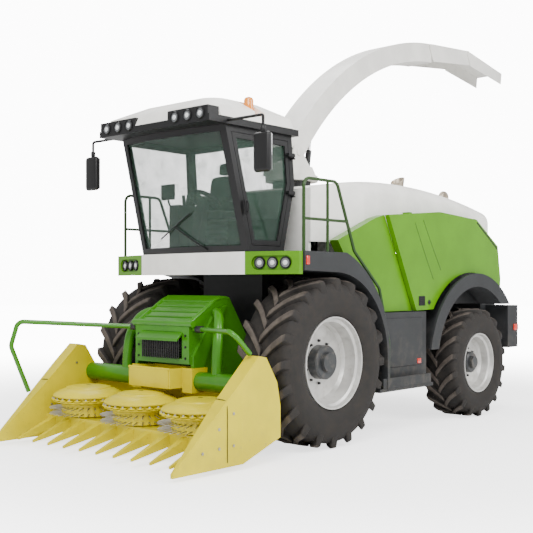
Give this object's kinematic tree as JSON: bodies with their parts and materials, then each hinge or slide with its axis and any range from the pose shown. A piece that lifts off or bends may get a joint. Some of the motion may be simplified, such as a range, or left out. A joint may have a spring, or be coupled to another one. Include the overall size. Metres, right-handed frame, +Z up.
{
  "type": "forage harvester",
  "caption": "Self-propelled forage harvester with a rotary maize header, glazed cab, steered rear wheels and a raised, swivelling discharge spout.",
  "frame": {"origin": "on the floor, under the middle of the overall length and width", "axes": "+Z up, -Y towards the header and the front, +X towards the machine's left side"},
  "size_m": [3.02, 8.4745, 5.4374],
  "materials": {
    "tyre": "matte",
    "rim_silver": "satin",
    "chassis_dark": "satin",
    "engine_grey": "matte",
    "machine_green": "gloss",
    "lime_panel": "gloss",
    "cream_panel": "gloss",
    "cream_metal": "gloss",
    "cab_black": "satin",
    "grey_panel": "matte",
    "tinted_glass": "clear",
    "seat_cloth": "matte",
    "cab_trim": "matte",
    "lamp_glass": "clear",
    "marker_plastic": "gloss",
    "rail_tube": "satin",
    "horn_metal": "satin",
    "header_yellow": "gloss",
    "rod_chrome": "polished",
    "feed_steel": "worn"
  },
  "bodies": {
    "machine": {"chassis_frame": "chassis_dark", "rear_axle": "chassis_dark", "engine": "engine_grey", "chopper_housing": "machine_green", "cab_platform": "chassis_dark", "front_band": "cream_panel", "lamp_panels": "lime_panel", "cab_frame": "cab_black", "cab_glass": "tinted_glass", "cab_roof": "cream_panel", "cab_seat": "seat_cloth", "cab_controls": "cab_trim", "mirrors": "cab_trim", "work_lamps": "lamp_glass", "marker_lamps": "marker_plastic", "handrails": "rail_tube", "front_fenders": "grey_panel", "side_tanks": "grey_panel", "rear_fenders": "grey_panel", "hood": "cream_panel", "side_panels": "lime_panel", "rear_grille": "chassis_dark", "rear_bumper": "grey_panel", "exhaust": "horn_metal"},
    "front_wheel_left": {"front_tyre_left": "tyre", "front_rim_left": "rim_silver"},
    "front_wheel_right": {"front_tyre_right": "tyre", "front_rim_right": "rim_silver"},
    "steer_left": {"knuckle_left": "chassis_dark"},
    "steer_right": {"knuckle_right": "chassis_dark"},
    "steer_rod": {"tie_rod": "chassis_dark"},
    "rear_wheel_left": {"rear_tyre_left": "tyre", "rear_rim_left": "rim_silver"},
    "rear_wheel_right": {"rear_tyre_right": "tyre", "rear_rim_right": "rim_silver"},
    "door": {"cab_door": "cab_black", "door_glass": "tinted_glass"},
    "lid_left": {"side_lid_left": "lime_panel"},
    "lid_right": {"side_lid_right": "lime_panel"},
    "turret": {"spout_turret": "cream_metal"},
    "spout": {"spout_arm": "cream_metal"},
    "flap": {"spout_flap": "cream_metal"},
    "flap_tip": {"spout_flap_tip": "cream_metal"},
    "spout_cylinder": {"spout_lift_barrel": "chassis_dark"},
    "spout_rod": {"spout_lift_rod": "rod_chrome"},
    "header": {"intake_housing": "machine_green", "header_frame": "header_yellow", "header_tubes": "machine_green", "dividers": "header_yellow"},
    "header_cylinders": {"header_lift_barrels": "chassis_dark"},
    "header_rods": {"header_lift_rods": "rod_chrome"},
    "feeder": {"feed_roller": "feed_steel"},
    "gatherer_left": {"rotor_left": "header_yellow"},
    "gatherer_middle": {"rotor_middle": "header_yellow"},
    "gatherer_right": {"rotor_right": "header_yellow"}
  },
  "joints": [
    {"name": "front_wheel_left_spin", "type": "hinge", "parent": "machine", "child": "front_wheel_left", "pos_m": [1.16, -1.89467, 0.92], "axis": [1, 0, 0], "continuous": true},
    {"name": "front_wheel_right_spin", "type": "hinge", "parent": "machine", "child": "front_wheel_right", "pos_m": [-1.16, -1.89467, 0.92], "axis": [1, 0, 0], "continuous": true},
    {"name": "steering", "type": "hinge", "parent": "machine", "child": "steer_left", "pos_m": [0.93, 1.30533, 0.722], "axis": [0, 0, 1], "range_deg": [-45, 45]},
    {"name": "steering_right", "type": "hinge", "parent": "machine", "child": "steer_right", "pos_m": [-0.93, 1.30533, 0.722], "axis": [0, 0, 1], "range_deg": [-45, 45]},
    {"name": "tie_rod_swing", "type": "hinge", "parent": "steer_left", "child": "steer_rod", "pos_m": [0.93, 1.05533, 0.574], "axis": [0, 0, 1], "range_deg": [-45, 45]},
    {"name": "rear_wheel_left_spin", "type": "hinge", "parent": "steer_left", "child": "rear_wheel_left", "pos_m": [1.19, 1.30533, 0.722], "axis": [1, 0, 0], "continuous": true},
    {"name": "rear_wheel_right_spin", "type": "hinge", "parent": "steer_right", "child": "rear_wheel_right", "pos_m": [-1.19, 1.30533, 0.722], "axis": [1, 0, 0], "continuous": true},
    {"name": "door_swing", "type": "hinge", "parent": "machine", "child": "door", "pos_m": [0.864, -1.88467, 2.99], "axis": [0, 0, 1], "range_deg": [0, 38]},
    {"name": "lid_left_lift", "type": "hinge", "parent": "machine", "child": "lid_left", "pos_m": [1.142, 0.70533, 2.64], "axis": [0, -1, 0], "range_deg": [0, 60]},
    {"name": "lid_right_lift", "type": "hinge", "parent": "machine", "child": "lid_right", "pos_m": [-1.142, 0.70533, 2.64], "axis": [0, 1, 0], "range_deg": [0, 60]},
    {"name": "spout_swivel", "type": "hinge", "parent": "machine", "child": "turret", "pos_m": [0, -0.89467, 3.0503], "axis": [0, 0, 1], "range_deg": [-100, 100]},
    {"name": "spout_lift", "type": "hinge", "parent": "turret", "child": "spout", "pos_m": [0, -1.03835, 3.3963], "axis": [1, 0, 0], "range_deg": [-18, 4]},
    {"name": "flap_tilt", "type": "hinge", "parent": "spout", "child": "flap", "pos_m": [0, 2.05167, 5.30132], "axis": [-1, 0, 0], "range_deg": [0, 40]},
    {"name": "flap_tip_tilt", "type": "hinge", "parent": "flap", "child": "flap_tip", "pos_m": [0, 3.15287, 5.39343], "axis": [-1, 0, 0], "range_deg": [0, 40]},
    {"name": "spout_cylinder_swing", "type": "hinge", "parent": "turret", "child": "spout_cylinder", "pos_m": [0, -0.60467, 3.1603], "axis": [1, 0, 0], "range_deg": [-14.76, 4.06]},
    {"name": "spout_rod_slide", "type": "slide", "parent": "spout_cylinder", "child": "spout_rod", "axis": [0, 0.1603, 0.9871], "range_m": [-0.152, 0.0353]},
    {"name": "header_lift", "type": "hinge", "parent": "machine", "child": "header", "pos_m": [0, -2.09467, 0.9], "axis": [-1, 0, 0], "range_deg": [0, 20]},
    {"name": "header_cylinder_swing", "type": "hinge", "parent": "machine", "child": "header_cylinders", "pos_m": [0, -2.06467, 0.62], "axis": [-1, 0, 0], "range_deg": [-1, 19.86]},
    {"name": "header_rod_slide", "type": "slide", "parent": "header_cylinders", "child": "header_rods", "axis": [0, -0.9955, -0.0948], "range_m": [-0.002, 0.099]},
    {"name": "feed_spin", "type": "hinge", "parent": "header", "child": "feeder", "pos_m": [0, -2.96467, 1.115], "axis": [1, 0, 0], "continuous": true},
    {"name": "rotor_left_spin", "type": "hinge", "parent": "header", "child": "gatherer_left", "pos_m": [0.9, -3.36467, 0.45], "axis": [0, 0, 1], "continuous": true},
    {"name": "rotor_middle_spin", "type": "hinge", "parent": "header", "child": "gatherer_middle", "pos_m": [0, -3.36467, 0.45], "axis": [0, 0, 1], "continuous": true},
    {"name": "rotor_right_spin", "type": "hinge", "parent": "header", "child": "gatherer_right", "pos_m": [-0.9, -3.36467, 0.45], "axis": [0, 0, 1], "continuous": true}
  ],
  "couplings": [
    {"joint": "steering_right", "follows": "steering", "ratio": 1},
    {"joint": "tie_rod_swing", "follows": "steering", "ratio": -1},
    {"joint": "flap_tip_tilt", "follows": "flap_tilt", "ratio": 1},
    {"joint": "spout_cylinder_swing", "follows": "spout_lift", "ratio": 0.76455},
    {"joint": "spout_rod_slide", "follows": "spout_lift", "m_per_rad": 0.47758},
    {"joint": "header_cylinder_swing", "follows": "header_lift", "ratio": 0.94323},
    {"joint": "header_rod_slide", "follows": "header_lift", "m_per_rad": 0.278},
    {"joint": "rotor_middle_spin", "follows": "rotor_left_spin", "ratio": 1},
    {"joint": "rotor_right_spin", "follows": "rotor_left_spin", "ratio": -1},
    {"joint": "feed_spin", "follows": "rotor_left_spin", "ratio": 2}
  ]
}
